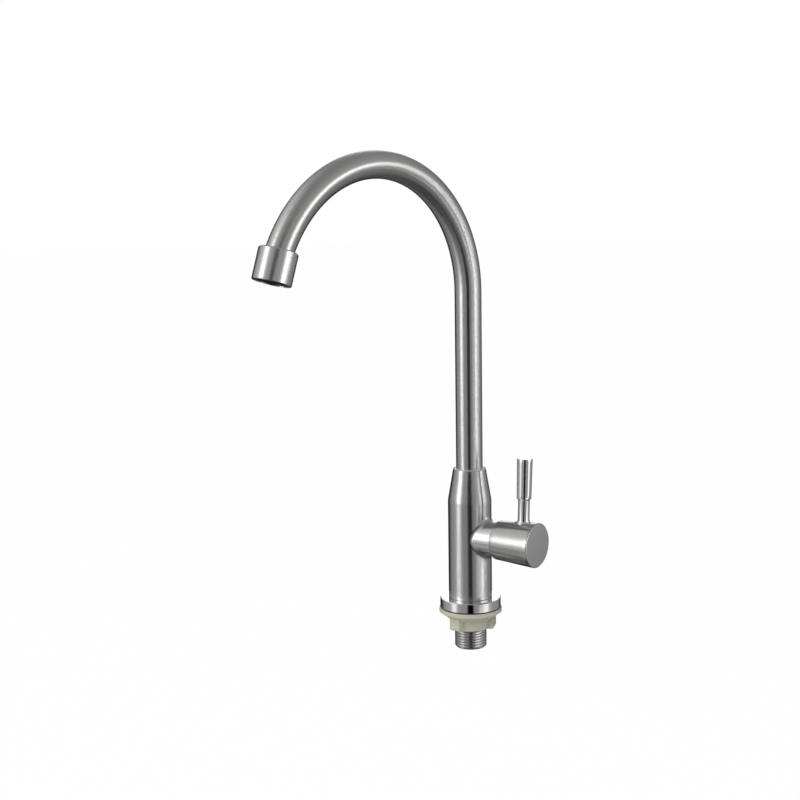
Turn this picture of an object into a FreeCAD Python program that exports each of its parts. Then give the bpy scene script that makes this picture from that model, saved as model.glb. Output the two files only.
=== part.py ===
"""Single-lever gooseneck kitchen faucet, deck mounted, in brushed stainless steel.

Frame: millimetres, +Z up, origin on the shank axis at the underside of the base flange, on the worktop.
The valve branch and its handle point along +X. The spout points forward, along -Y, swung a little off square.
"""
import FreeCAD
import Part

import math
import os

Vector = FreeCAD.Vector
ORIGIN = Vector(0, 0, 0)
X_AXIS = Vector(1, 0, 0)
Y_AXIS = Vector(0, 1, 0)
Z_AXIS = Vector(0, 0, 1)

# Shared clearances and cuts
overrun = 5.0             # how far a cutting tool runs past the material
thread_gap = 0.03         # screwed pieces of one body, modelled without threads
running_gap = 0.05        # radial gap of a shaft that turns in its bore
static_gap = 0.02         # seals and pressed pieces of one body

# Rest pose, as photographed
spout_rest_swing = 9.3    # degrees the spout is swung away from the handle
lever_rest_lean = 2.7     # degrees the lever leans back from upright

# Base: threaded shank, trim flange with its gasket, rubber washer and plastic nut
thread_diameter = 20.955  # G 1/2 pipe thread, over its crests
thread_pitch_diameter = 19.793
shank_bore = 14.0
shank_drop = 27.9         # below the worktop face
shank_screwed_in = 13.5   # into the body
shank_crest_length = 13.4  # free stretch below the nut, drawn over its crests
shank_chamfer = 1.0
flange_diameter = 40.0
flange_height = 6.2
flange_edge = 0.5
flange_hole_gap = 0.35
gasket_diameter = 36.0
gasket_thickness = 2.0
gasket_hole_gap = 1.2
gasket_recess_gap = 0.15
washer_diameter = 39.4
washer_height = 0.9
washer_hole_gap = 0.4
nut_flange_diameter = 41.4
nut_flange_edge = 2.5
nut_edge_chamfer = 0.5
nut_cone_height = 5.5
nut_height = 13.6
nut_hub_diameter = 25.6
nut_lug_reach = 16.4      # from the axis to the lugs' ends
nut_lug_width = 8.2
nut_lug_round = 1.7       # at the lugs' lower corners
nut_lugs = 3
nut_rest_turn = 22.3      # degrees its first lug is turned from the branch

# Body column
body_diameter = 28.6
body_top = 92.9
body_cone_height = 21.0
body_top_diameter = 21.5
body_foot_chamfer = 0.6
body_rim_chamfer = 0.35
body_crease_round = 14.0

# Valve branch on the body
valve_height = 47.5
branch_diameter = 23.0
branch_end = 22.1
branch_fillet = 3.5
chamber_diameter = 18.6
chamber_floor = 2.0
inlet_passage_diameter = 9.0
inlet_passage_offset = 5.5
inlet_port_diameter = 7.0
inlet_passage_rise = 3.0      # past the valve axis
outlet_passage_diameter = 6.4
outlet_passage_offset = 6.0

# Spout swivel: socket in the body, adapter brazed into the tube, bush, seals and lock screw
socket_diameter = 19.4
socket_depth = 30.0           # below the body's top
bush_height = 5.0
tube_diameter = 17.4
tube_wall = 1.0
tube_inset = 9.8              # the tube's foot below the body's top
adapter_spigot = 10.0
adapter_foot_gap = 0.2
adapter_bore = 11.0
seal_section = 1.8            # O-ring thickness on the spout
seal_groove_width = 2.4
seal_first = 3.6              # seal centre above the adapter foot
seal_pitch = 4.6
lock_groove_height = 15.0     # groove centre above the adapter foot
lock_groove_depth = 1.3
lock_screw_diameter = 5.0
lock_screw_length = 4.2
lock_screw_socket = 2.5       # across the flats of its hexagon
lock_screw_socket_depth = 2.2
lock_screw_float = 0.25       # between the screw tip and the groove floor, and beside it

# Gooseneck
bend_radius = 85.35
bend_height = 208.8           # height of the bend's centre
outlet_lean = 19.1            # degrees that the outlet points forward of straight down

# Outlet: housing on the tube end, washer, screen and aerator insert
outlet_diameter = 24.0
outlet_length = 19.8
outlet_past_bend = 7.5        # housing end beyond the end of the bend
tube_end_inset = 4.5          # the tube stops this far short of the end of the bend
outlet_top_chamfer = 0.8
outlet_rim_chamfer = 0.4
outlet_rim_wall = 0.9
outlet_recess = 0.5           # insert face inside the rim
outlet_shoulder = 1.2         # lip under the tube end that the washer seats on
outlet_shoulder_bore = 13.0
outlet_washer_height = 1.5
outlet_washer_bore = 14.0
screen_thickness = 0.8
screen_rim = 1.6
screen_bars = 5
screen_bar_width = 0.7
insert_rim = 1.8
insert_plate = 1.6            # perforated plate of the insert
insert_hole_diameter = 2.6
insert_hole_pitch = 3.3
insert_rings = 2              # rings of holes round the middle one

# Quarter-turn ceramic cartridge, measured along the branch from the body axis
seal_ring_thickness = 2.4
seal_ring_bore = 8.0
cartridge_skirt_diameter = 16.0
cartridge_skirt_bore = 13.4
cartridge_skirt_lift = 0.9        # skirt end above the chamber floor
disc_thickness = 3.0
disc_gap = 0.1                    # each disc inside the skirt
disc_port_inner = 1.6
disc_port_outer = 5.2
disc_port_angle = 80.0
window_width = 6.0
window_length = 4.5
cartridge_thread_start = 13.6
cartridge_flange_diameter = 21.6
cartridge_flange_length = 3.6
cartridge_flats = 19.0
stem_diameter = 8.0
stem_drive_length = 3.0
stem_dog_height = 1.2
stem_dog_width = 3.0
stem_end = 41.5
stem_seal_section = 1.3
stem_seal_first = 16.4
stem_seal_pitch = 3.6
stem_seal_groove_width = 1.8
spline_teeth = 20
spline_depth = 0.45
spline_length = 10.0
clip_thickness = 0.8
clip_diameter = 11.0
clip_groove_depth = 0.8
clip_mouth_angle = 70.0

# Handle: tapered shell with its lever and lock screw
handle_start = 22.55
handle_end = 51.8
handle_inner_diameter = 25.8      # at the end beside the branch
handle_outer_diameter = 29.2      # at the free end
handle_cavity_diameter = 23.0
handle_cavity_depth = 9.6
handle_lip_chamfer = 0.3
handle_end_chamfer = 0.45
handle_bore_past_stem = 0.6
handle_spline_gap = 0.05
lever_position = 40.9
lever_seat_height = 13.0          # spot face above the handle axis
lever_seat_diameter = 11.2
lever_foot_diameter = 10.4
lever_foot_height = 2.4
lever_neck_diameter = 7.6
lever_grip_start = 28.6
lever_grip_chamfer = 1.3
lever_grip_foot_diameter = 9.5
lever_grip_top_diameter = 10.1
lever_top = 55.8
lever_top_chamfer = 0.25
lever_tail_diameter = 5.0
lever_tail_length = 6.0
handle_screw_position = 37.0
handle_screw_diameter = 4.0
handle_screw_length = 6.0
handle_screw_socket = 2.0
handle_screw_socket_depth = 2.0
handle_screw_float = 0.1

# Sizes that follow from those above
body_radius = body_diameter / 2
body_foot = flange_height
body_cone_start = body_top - body_cone_height
socket_floor = body_top - socket_depth
tube_foot = body_top - tube_inset
nut_top = -washer_height
nut_foot = nut_top - nut_height
socket_radius = socket_diameter / 2
tube_radius = tube_diameter / 2
adapter_foot = socket_floor + adapter_foot_gap
adapter_radius = socket_radius - running_gap
lock_screw_height = adapter_foot + lock_groove_height
chamber_radius = chamber_diameter / 2
skirt_start = chamber_floor + cartridge_skirt_lift
skirt_bore_radius = cartridge_skirt_bore / 2
fixed_disc_start = chamber_floor + seal_ring_thickness
moving_disc_start = fixed_disc_start + disc_thickness
stem_start = moving_disc_start + disc_thickness
stem_radius = stem_diameter / 2
cartridge_face = branch_end + cartridge_flange_length
tube_sweep = 180.0 - outlet_lean - math.degrees(tube_end_inset / bend_radius)
washer_seat = tube_end_inset - outlet_shoulder
bend_centre = Vector(0, -bend_radius, bend_height)


def cylinder(diameter, start, end, base=ORIGIN):
    """Upright cylinder between two heights."""
    return Part.makeCylinder(diameter / 2, end - start, base + Vector(0, 0, start), Z_AXIS)


def ring(outer, inner, start, end):
    """Upright tube of two diameters between two heights."""
    return cylinder(outer, start, end).cut(cylinder(inner, start - overrun, end + overrun))


def turned(profile):
    """Solid of revolution about Z from (radius, height) corners."""
    corners = [Vector(radius, 0, height) for radius, height in profile]
    wire = Part.makePolygon(corners + corners[:1])
    return Part.Face(wire).revolve(ORIGIN, Z_AXIS, 360)


def torus(mid_radius, section, height):
    """O-ring about Z."""
    return Part.makeTorus(mid_radius, section / 2, Vector(0, 0, height), Z_AXIS)


def hexagon(across_flats, start, end):
    """Upright hexagonal prism between two heights."""
    corner = across_flats / math.sqrt(3)
    corners = [Vector(corner, 0, start)]
    for turn in range(60, 361, 60):
        angle = math.radians(turn)
        corners.append(Vector(corner * math.cos(angle), corner * math.sin(angle), start))
    return Part.Face(Part.makePolygon(corners)).extrude(Vector(0, 0, end - start))


def along_branch(shape):
    """Lays a piece that was modelled about Z along the valve branch, so that its height becomes X."""
    placed = shape.copy()
    placed.rotate(ORIGIN, Y_AXIS, 90)
    placed.translate(Vector(0, 0, valve_height))
    return placed


def swung(shape):
    """Swings a spout piece to its rest pose."""
    placed = shape.copy()
    placed.rotate(ORIGIN, Z_AXIS, -spout_rest_swing)
    return placed


def leaned(shape):
    """Turns a handle piece to its rest pose about the branch axis."""
    placed = shape.copy()
    placed.rotate(Vector(0, 0, valve_height), X_AXIS, -lever_rest_lean)
    return placed


def at_outlet(shape):
    """Carries a piece modelled about Z, with the end of the bend at height zero, to the spout's end."""
    placed = shape.copy()
    placed.translate(Vector(0, -2 * bend_radius, bend_height))
    placed.rotate(bend_centre, X_AXIS, -outlet_lean)
    return placed


def sector(inner, outer, angle, start, end, middle):
    """Part of an upright ring, centred on an angle, for a disc port."""
    radial = Part.Face(Part.makePolygon([
        Vector(inner, 0, start), Vector(outer, 0, start), Vector(outer, 0, end), Vector(inner, 0, end),
        Vector(inner, 0, start)]))
    radial.rotate(ORIGIN, Z_AXIS, middle - angle / 2)
    return radial.revolve(ORIGIN, Z_AXIS, angle)


def crossed(shape):
    """A shape and its copy half a turn round Z."""
    twin = shape.copy()
    twin.rotate(ORIGIN, Z_AXIS, 180)
    return shape.fuse(twin)


def make_inlet_shank():
    top = body_foot + shank_screwed_in
    foot = -shank_drop
    crest_top = foot + shank_crest_length
    crest = thread_diameter / 2
    pitch = thread_pitch_diameter / 2
    bore = shank_bore / 2
    return turned([
        (bore, foot), (crest - shank_chamfer, foot), (crest, foot + shank_chamfer), (crest, crest_top),
        (pitch, crest_top), (pitch, top), (bore, top)])


def make_base_flange():
    radius = flange_diameter / 2
    hole = thread_diameter / 2 + flange_hole_gap
    blank = turned([
        (hole, 0), (radius, 0), (radius, body_foot - flange_edge), (radius - flange_edge, body_foot),
        (hole, body_foot)])
    recess = cylinder(gasket_diameter + 2 * gasket_recess_gap, -overrun, gasket_thickness)
    return blank.cut(recess)


def make_base_gasket():
    return ring(gasket_diameter, thread_diameter + 2 * gasket_hole_gap, 0, gasket_thickness)


def make_nut_washer():
    return ring(washer_diameter, thread_diameter + 2 * washer_hole_gap, nut_top, 0)


def nut_lug():
    """Grip lug of the nut along +X, rounded at its lower outer corner."""
    lug = Part.makeBox(nut_lug_reach, nut_lug_width, nut_height, Vector(0, -nut_lug_width / 2, nut_foot))
    corner = [edge for edge in lug.Edges
              if edge.BoundBox.XMin > nut_lug_reach / 2 and edge.BoundBox.ZMax < nut_foot + nut_height / 2]
    return lug.makeFillet(nut_lug_round, corner)


def make_mounting_nut():
    rim = nut_flange_diameter / 2
    hub = nut_hub_diameter / 2
    flange_foot = nut_top - nut_flange_edge
    nut = turned([
        (0, nut_top), (rim - nut_edge_chamfer, nut_top), (rim, nut_top - nut_edge_chamfer),
        (rim, flange_foot), (hub, flange_foot - nut_cone_height), (hub, nut_foot), (0, nut_foot)])
    for step in range(nut_lugs):
        lug = nut_lug()
        lug.rotate(ORIGIN, Z_AXIS, nut_rest_turn + 360 * step / nut_lugs)
        nut = nut.fuse(lug)
    bore = cylinder(thread_diameter + 2 * running_gap, nut_foot - overrun, nut_top + overrun)
    return nut.cut(bore).removeSplitter()


def section_point(radius, height):
    """Corner of a half section, for a solid of revolution about Z."""
    return Vector(radius, 0, height)


def body_column():
    """Upright column with a soft crease where its cone starts."""
    top_radius = body_top_diameter / 2
    rim_height = body_top - body_rim_chamfer
    slope = math.atan2(body_radius - top_radius, rim_height - body_cone_start)
    tangent = body_crease_round * math.tan(slope / 2)
    centre_radius = body_radius - body_crease_round
    arc_height = body_cone_start - tangent
    arc_start = section_point(body_radius, arc_height)
    arc_middle = section_point(centre_radius + body_crease_round * math.cos(slope / 2),
                               arc_height + body_crease_round * math.sin(slope / 2))
    arc_end = section_point(centre_radius + body_crease_round * math.cos(slope),
                            arc_height + body_crease_round * math.sin(slope))
    below = Part.makePolygon([
        section_point(0, body_foot), section_point(body_radius - body_foot_chamfer, body_foot),
        section_point(body_radius, body_foot + body_foot_chamfer), arc_start])
    crease = Part.Arc(arc_start, arc_middle, arc_end).toShape()
    above = Part.makePolygon([
        arc_end, section_point(top_radius, rim_height), section_point(top_radius - body_rim_chamfer, body_top),
        section_point(0, body_top), section_point(0, body_foot)])
    outline = Part.Wire(below.Edges + [crease] + above.Edges)
    return Part.Face(outline).revolve(ORIGIN, Z_AXIS, 360)


def make_main_body():
    column = body_column()
    column.rotate(ORIGIN, Z_AXIS, 180)
    branch = along_branch(cylinder(branch_diameter, 0, branch_end))
    shell = column.fuse(branch)
    seam = [edge for edge in shell.Edges
            if 0 < edge.BoundBox.XMin < body_radius and edge.BoundBox.XMax < branch_end - overrun
            and edge.BoundBox.ZMin > body_foot]
    shell = shell.makeFillet(branch_fillet, seam)
    shank_socket_top = body_foot + shank_screwed_in
    cuts = [
        cylinder(thread_pitch_diameter + 2 * thread_gap, body_foot - overrun, shank_socket_top),
        cylinder(inlet_passage_diameter, body_foot, valve_height + inlet_passage_rise,
                 Vector(-inlet_passage_offset, 0, 0)),
        along_branch(cylinder(inlet_port_diameter, -inlet_passage_offset, chamber_floor + overrun)),
        along_branch(cylinder(chamber_diameter, chamber_floor, branch_end + overrun)),
        cylinder(outlet_passage_diameter, valve_height, socket_floor + overrun,
                 Vector(outlet_passage_offset, 0, 0)),
        cylinder(socket_diameter, socket_floor, body_top + overrun),
        lock_screw_bore(),
    ]
    for cut in cuts:
        shell = shell.cut(cut)
    return shell


def behind(shape):
    """Lays a piece that was modelled about Z so that its height points back, along +Y, at the lock screw."""
    placed = shape.copy()
    placed.rotate(ORIGIN, X_AXIS, -90)
    placed.translate(Vector(0, 0, lock_screw_height))
    return placed


def lock_screw_bore():
    return behind(cylinder(lock_screw_diameter + 2 * thread_gap, 0, body_radius + overrun))


def make_spout_lock_screw():
    tip = adapter_radius - lock_groove_depth + lock_screw_float
    end = tip + lock_screw_length
    blank = cylinder(lock_screw_diameter, tip, end)
    socket = hexagon(lock_screw_socket, end - lock_screw_socket_depth, end + overrun)
    return behind(blank.cut(socket))


def make_spout_bush():
    outer = socket_diameter - 2 * static_gap
    return ring(outer, tube_diameter + 2 * running_gap, body_top - bush_height, body_top)


def seal_heights():
    return [adapter_foot + seal_first + step * seal_pitch for step in range(2)]


def make_spout_adapter():
    spigot = tube_diameter - 2 * tube_wall - 2 * static_gap
    blank = cylinder(2 * adapter_radius, adapter_foot, tube_foot)
    blank = blank.fuse(cylinder(spigot, adapter_foot, tube_foot + adapter_spigot))
    blank = blank.cut(cylinder(adapter_bore, adapter_foot - overrun, tube_foot + adapter_spigot + overrun))
    groove_floor = 2 * (socket_radius - seal_section) - 2 * static_gap
    for height in seal_heights():
        half = seal_groove_width / 2
        blank = blank.cut(ring(socket_diameter + overrun, groove_floor, height - half, height + half))
    lock_half = lock_screw_diameter / 2 + lock_screw_float
    lock_floor = 2 * (adapter_radius - lock_groove_depth)
    lock_groove = ring(socket_diameter + overrun, lock_floor,
                       lock_screw_height - lock_half, lock_screw_height + lock_half)
    return swung(blank.cut(lock_groove))


def make_spout_o_rings():
    mid = socket_radius - seal_section / 2 - static_gap
    rings = [torus(mid, seal_section, height) for height in seal_heights()]
    return swung(Part.makeCompound(rings))


def gooseneck(diameter, foot):
    """Solid rod along the spout's centre line, from a height up and round the bend."""
    straight = cylinder(diameter, foot, bend_height)
    section = Part.Face(Part.Wire(Part.makeCircle(diameter / 2, Vector(0, 0, bend_height), Z_AXIS)))
    bend = section.revolve(bend_centre, X_AXIS, tube_sweep)
    return straight.fuse(bend).removeSplitter()


def make_spout_tube():
    outer = gooseneck(tube_diameter, tube_foot)
    bore = gooseneck(tube_diameter - 2 * tube_wall, tube_foot)
    return swung(outer.cut(bore))


def make_outlet_housing():
    radius = outlet_diameter / 2
    end = -outlet_past_bend
    top = outlet_length - outlet_past_bend
    mouth = radius - outlet_rim_wall
    shoulder = outlet_shoulder_bore / 2
    blank = turned([
        (0, top), (radius - outlet_top_chamfer, top), (radius, top - outlet_top_chamfer),
        (radius, end + outlet_rim_chamfer), (radius - outlet_rim_chamfer, end), (mouth, end),
        (mouth, washer_seat), (shoulder, washer_seat), (shoulder, tube_end_inset), (0, tube_end_inset)])
    socket = gooseneck(tube_diameter + 2 * static_gap, bend_height - overrun)
    return swung(at_outlet(blank).cut(socket))


def outlet_fill_diameter():
    return outlet_diameter - 2 * outlet_rim_wall - 2 * static_gap


def make_outlet_washer():
    top = washer_seat
    return swung(at_outlet(ring(outlet_fill_diameter(), outlet_washer_bore, top - outlet_washer_height, top)))


def make_outlet_screen():
    top = washer_seat - outlet_washer_height
    foot = top - screen_thickness
    outer = outlet_fill_diameter()
    inner = outer - 2 * screen_rim
    screen = ring(outer, inner, foot, top)
    pitch = inner / (screen_bars + 1)
    for turn in (0, 90):
        for step in range(screen_bars):
            offset = (step + 1) * pitch - inner / 2
            corner = Vector(offset - screen_bar_width / 2, -outer / 2, foot)
            bar = Part.makeBox(screen_bar_width, outer, screen_thickness, corner)
            bar.rotate(ORIGIN, Z_AXIS, turn)
            screen = screen.fuse(bar.common(cylinder(outer, foot, top)))
    return swung(at_outlet(screen.removeSplitter()))


def make_aerator_insert():
    top = washer_seat - outlet_washer_height - screen_thickness
    foot = -outlet_past_bend + outlet_recess
    outer = outlet_fill_diameter()
    cup = cylinder(outer, foot, top)
    cup = cup.cut(cylinder(outer - 2 * insert_rim, foot + insert_plate, top + overrun))
    holes = [cylinder(insert_hole_diameter, foot - overrun, top)]
    for layer in range(1, insert_rings + 1):
        count = 6 * layer
        for step in range(count):
            angle = 2 * math.pi * step / count
            place = Vector(math.cos(angle), math.sin(angle), 0) * (layer * insert_hole_pitch)
            holes.append(cylinder(insert_hole_diameter, foot - overrun, top, place))
    return swung(at_outlet(cup.cut(Part.makeCompound(holes))))


def make_valve_seal():
    outer = cartridge_skirt_bore - 2 * static_gap
    return along_branch(ring(outer, seal_ring_bore, chamber_floor, fixed_disc_start))


def ceramic_disc(start, middle):
    """Flat disc with two opposite sector ports centred on an angle."""
    disc = cylinder(cartridge_skirt_bore - 2 * disc_gap, start, start + disc_thickness)
    port = sector(disc_port_inner, disc_port_outer, disc_port_angle,
                  start - overrun, start + disc_thickness + overrun, middle)
    return disc.cut(crossed(port))


def make_fixed_disc():
    return along_branch(ceramic_disc(fixed_disc_start, 0))


def stem_dog(width, height):
    """Bar across the drive end of the stem that keys into the moving disc."""
    length = cartridge_skirt_bore - 2 * disc_gap
    bar = Part.makeBox(length, width, height, Vector(-length / 2, -width / 2, stem_start - height))
    return bar.common(cylinder(2 * disc_port_outer, stem_start - height, stem_start))


def make_moving_disc():
    disc = ceramic_disc(moving_disc_start, 90)
    keyway = stem_dog(stem_dog_width + 2 * static_gap, stem_dog_height + static_gap)
    return leaned(along_branch(disc.cut(keyway)))


def make_cartridge_body():
    skirt_radius = cartridge_skirt_diameter / 2
    thread = chamber_radius - thread_gap
    flange = cartridge_flange_diameter / 2
    drive_end = stem_start + stem_drive_length + running_gap
    bore = stem_radius + running_gap
    blank = turned([
        (skirt_bore_radius, skirt_start), (skirt_radius, skirt_start),
        (skirt_radius, cartridge_thread_start), (thread, cartridge_thread_start), (thread, branch_end),
        (flange, branch_end), (flange, cartridge_face), (bore, cartridge_face),
        (bore, drive_end), (skirt_bore_radius, drive_end)])
    for side in (-1, 1):
        low = cartridge_flats / 2 if side > 0 else -cartridge_flats / 2 - overrun
        flat = Part.makeBox(cartridge_flange_diameter, overrun, cartridge_flange_length,
                            Vector(-flange, low, branch_end))
        blank = blank.cut(flat)
    window = Part.makeBox(cartridge_flange_diameter, window_width, window_length,
                          Vector(-flange, -window_width / 2, moving_disc_start))
    return along_branch(blank.cut(window))


def make_cartridge_stem():
    drive = cylinder(cartridge_skirt_bore - 2 * disc_gap, stem_start, stem_start + stem_drive_length)
    shaft = cylinder(stem_diameter, stem_start, stem_end)
    stem = drive.fuse(shaft).fuse(stem_dog(stem_dog_width, stem_dog_height))
    groove_floor = stem_diameter + 2 * running_gap - 2 * stem_seal_section - 2 * static_gap
    for place in stem_seal_places():
        half = stem_seal_groove_width / 2
        stem = stem.cut(ring(stem_diameter + overrun, groove_floor, place - half, place + half))
    clip_floor = stem_diameter - 2 * clip_groove_depth
    clip_start = cartridge_face + running_gap
    stem = stem.cut(ring(stem_diameter + overrun, clip_floor, clip_start, clip_start + clip_thickness))
    notch = math.pi * stem_radius / spline_teeth / 2
    teeth = []
    for step in range(spline_teeth):
        cutter = Part.makeBox(2 * spline_depth, notch, spline_length + overrun,
                              Vector(stem_radius - spline_depth, -notch / 2, stem_end - spline_length))
        cutter.rotate(ORIGIN, Z_AXIS, 360 * step / spline_teeth)
        teeth.append(cutter)
    stem = stem.cut(Part.makeCompound(teeth))
    return leaned(along_branch(stem.removeSplitter()))


def stem_seal_places():
    return [stem_seal_first + step * stem_seal_pitch for step in range(2)]


def make_stem_o_rings():
    mid = stem_radius + running_gap - stem_seal_section / 2 - static_gap
    rings = [torus(mid, stem_seal_section, place) for place in stem_seal_places()]
    return leaned(along_branch(Part.makeCompound(rings)))


def make_stem_clip():
    start = cartridge_face + running_gap + static_gap
    end = start + clip_thickness - 2 * static_gap
    hole = stem_diameter - 2 * clip_groove_depth + 2 * static_gap
    mouth = sector(0, clip_diameter, clip_mouth_angle, start - overrun, end + overrun, 0)
    return leaned(along_branch(ring(clip_diameter, hole, start, end).cut(mouth)))


def upright_on_handle(shape, place):
    """Stands a piece that was modelled about Z, with height measured from the handle axis, on the handle."""
    placed = shape.copy()
    placed.translate(Vector(place, 0, valve_height))
    return placed


def make_handle_shell():
    inner = handle_inner_diameter / 2
    outer = handle_outer_diameter / 2
    cavity_end = handle_start + handle_cavity_depth
    cavity = handle_cavity_diameter / 2
    stem_bore = stem_radius + handle_spline_gap
    bore_end = stem_end + handle_bore_past_stem
    shell = along_branch(turned([
        (cavity, handle_start), (inner - handle_lip_chamfer, handle_start),
        (inner, handle_start + handle_lip_chamfer), (outer, handle_end - handle_end_chamfer),
        (outer - handle_end_chamfer, handle_end), (0, handle_end), (0, bore_end),
        (stem_bore, bore_end), (stem_bore, cavity_end), (cavity, cavity_end)]))
    seat = cylinder(lever_seat_diameter, lever_seat_height, lever_seat_height + overrun)
    tail = cylinder(lever_tail_diameter + 2 * thread_gap, lever_seat_height - lever_tail_length - thread_gap,
                    lever_seat_height + overrun)
    screw = cylinder(handle_screw_diameter + 2 * thread_gap, -outer - overrun, 0)
    shell = shell.cut(upright_on_handle(seat.fuse(tail), lever_position))
    return leaned(shell.cut(upright_on_handle(screw, handle_screw_position)))


def make_lever():
    neck = lever_neck_diameter / 2
    grip_foot = lever_grip_foot_diameter / 2
    grip_top = lever_grip_top_diameter / 2
    tail = lever_tail_diameter / 2
    lever = turned([
        (0, lever_seat_height - lever_tail_length), (tail, lever_seat_height - lever_tail_length),
        (tail, lever_seat_height), (lever_foot_diameter / 2, lever_seat_height),
        (neck, lever_seat_height + lever_foot_height), (neck, lever_grip_start),
        (grip_foot, lever_grip_start + lever_grip_chamfer), (grip_top, lever_top - lever_top_chamfer),
        (grip_top - lever_top_chamfer, lever_top), (0, lever_top)])
    return leaned(upright_on_handle(lever, lever_position))


def make_handle_lock_screw():
    tip = -stem_radius - handle_screw_float
    foot = tip - handle_screw_length
    blank = cylinder(handle_screw_diameter, foot, tip)
    socket = hexagon(handle_screw_socket, foot - overrun, foot + handle_screw_socket_depth)
    return leaned(upright_on_handle(blank.cut(socket), handle_screw_position))


PIECES = {
    "main_body": make_main_body,
    "inlet_shank": make_inlet_shank,
    "base_flange": make_base_flange,
    "base_gasket": make_base_gasket,
    "nut_washer": make_nut_washer,
    "mounting_nut": make_mounting_nut,
    "spout_tube": make_spout_tube,
    "spout_adapter": make_spout_adapter,
    "spout_o_rings": make_spout_o_rings,
    "spout_bush": make_spout_bush,
    "spout_lock_screw": make_spout_lock_screw,
    "outlet_housing": make_outlet_housing,
    "outlet_washer": make_outlet_washer,
    "outlet_screen": make_outlet_screen,
    "aerator_insert": make_aerator_insert,
    "cartridge_body": make_cartridge_body,
    "cartridge_stem": make_cartridge_stem,
    "stem_o_rings": make_stem_o_rings,
    "stem_clip": make_stem_clip,
    "valve_seal": make_valve_seal,
    "fixed_disc": make_fixed_disc,
    "moving_disc": make_moving_disc,
    "handle_shell": make_handle_shell,
    "handle_lock_screw": make_handle_lock_screw,
    "lever": make_lever,
}

os.makedirs("parts", exist_ok=True)
for name, make in PIECES.items():
    piece = make()
    if not piece.isValid():
        raise ValueError(name + " is not a valid shape")
    piece.exportStep("parts/" + name + ".step")
    print(name, len(piece.Solids), "solid", round(piece.Volume, 1), "mm3")
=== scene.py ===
"""Looks of a brushed steel gooseneck kitchen faucet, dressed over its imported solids."""
import logging
import math
from dataclasses import dataclass, field
from enum import Enum
from typing import Any, ClassVar, Optional, Sequence, Union

import bmesh
import bpy
from mathutils import Matrix, Vector


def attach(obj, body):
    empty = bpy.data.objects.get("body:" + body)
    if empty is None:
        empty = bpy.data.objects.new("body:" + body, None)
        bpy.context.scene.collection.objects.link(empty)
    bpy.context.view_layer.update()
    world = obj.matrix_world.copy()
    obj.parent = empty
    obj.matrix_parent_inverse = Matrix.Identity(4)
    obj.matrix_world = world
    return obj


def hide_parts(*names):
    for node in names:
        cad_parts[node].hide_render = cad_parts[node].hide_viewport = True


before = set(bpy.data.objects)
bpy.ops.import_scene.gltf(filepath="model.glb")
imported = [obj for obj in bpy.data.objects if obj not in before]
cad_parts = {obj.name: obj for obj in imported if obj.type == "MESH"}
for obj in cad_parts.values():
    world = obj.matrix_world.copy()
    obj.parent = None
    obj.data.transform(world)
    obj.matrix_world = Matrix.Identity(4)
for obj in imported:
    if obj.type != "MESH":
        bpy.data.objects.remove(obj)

LOG = logging.getLogger("faucet")
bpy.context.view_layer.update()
NOISE_MEAN = 0.5

Colour = tuple[float, float, float]
Place = tuple[float, float, float]


class BrushLay(Enum):
    """Direction across which the brushing lines of a piece follow each other, in the piece's rest pose."""

    UP_COLUMN = (0.0, 0.0, 1.0)
    ALONG_BRANCH = (1.0, 0.0, 0.0)
    ALONG_OUTLET = (0.0529, 0.3229, 0.9449)


class Mark(Enum):
    """Attributes that Geometry Nodes leave on a mesh for its finish to read."""

    RUN = "run"
    TURN = "turn"
    TOOTH = "tooth"


class Blend(Enum):
    """Kinds of Mix node, each with the numbers of its two inputs and of its output."""

    VECTOR = (4, 5, 1)
    COLOUR = (6, 7, 2)

    @property
    def data_type(self) -> str:
        """The node's own name for the kind."""
        return "RGBA" if self is Blend.COLOUR else "VECTOR"


class Socket:
    """A node socket that takes part in Python expressions, each of which adds a Math node."""

    def __init__(self, sketch: "Sketch", socket: bpy.types.NodeSocket) -> None:
        """Keeps the sketch that owns the socket and the socket itself."""
        self.sketch = sketch
        self.socket = socket

    def _math(self, operation: str, *values: Any) -> "Socket":
        """Adds one Math node and returns its result."""
        return self.sketch.add("ShaderNodeMath", {"operation": operation}, dict(enumerate(values)))

    def __add__(self, other: Any) -> "Socket":
        """Sum."""
        return self._math("ADD", self, other)

    def __radd__(self, other: Any) -> "Socket":
        """Sum with the number on the left."""
        return self._math("ADD", other, self)

    def __sub__(self, other: Any) -> "Socket":
        """Difference."""
        return self._math("SUBTRACT", self, other)

    def __rsub__(self, other: Any) -> "Socket":
        """Difference with the number on the left."""
        return self._math("SUBTRACT", other, self)

    def __mul__(self, other: Any) -> "Socket":
        """Product."""
        return self._math("MULTIPLY", self, other)

    def __rmul__(self, other: Any) -> "Socket":
        """Product with the number on the left."""
        return self._math("MULTIPLY", other, self)

    def __truediv__(self, other: Any) -> "Socket":
        """Quotient."""
        return self._math("DIVIDE", self, other)

    def __rtruediv__(self, other: Any) -> "Socket":
        """Quotient with the number on the left."""
        return self._math("DIVIDE", other, self)

    def function(self, operation: str, *others: Any) -> "Socket":
        """Any other Math operation with this socket first.

        Args:
            operation: The Math node's operation, such as SINE or MINIMUM.
            others: Further values or sockets.

        Returns:
            The result's socket.
        """
        return self._math(operation, self, *others)


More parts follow.
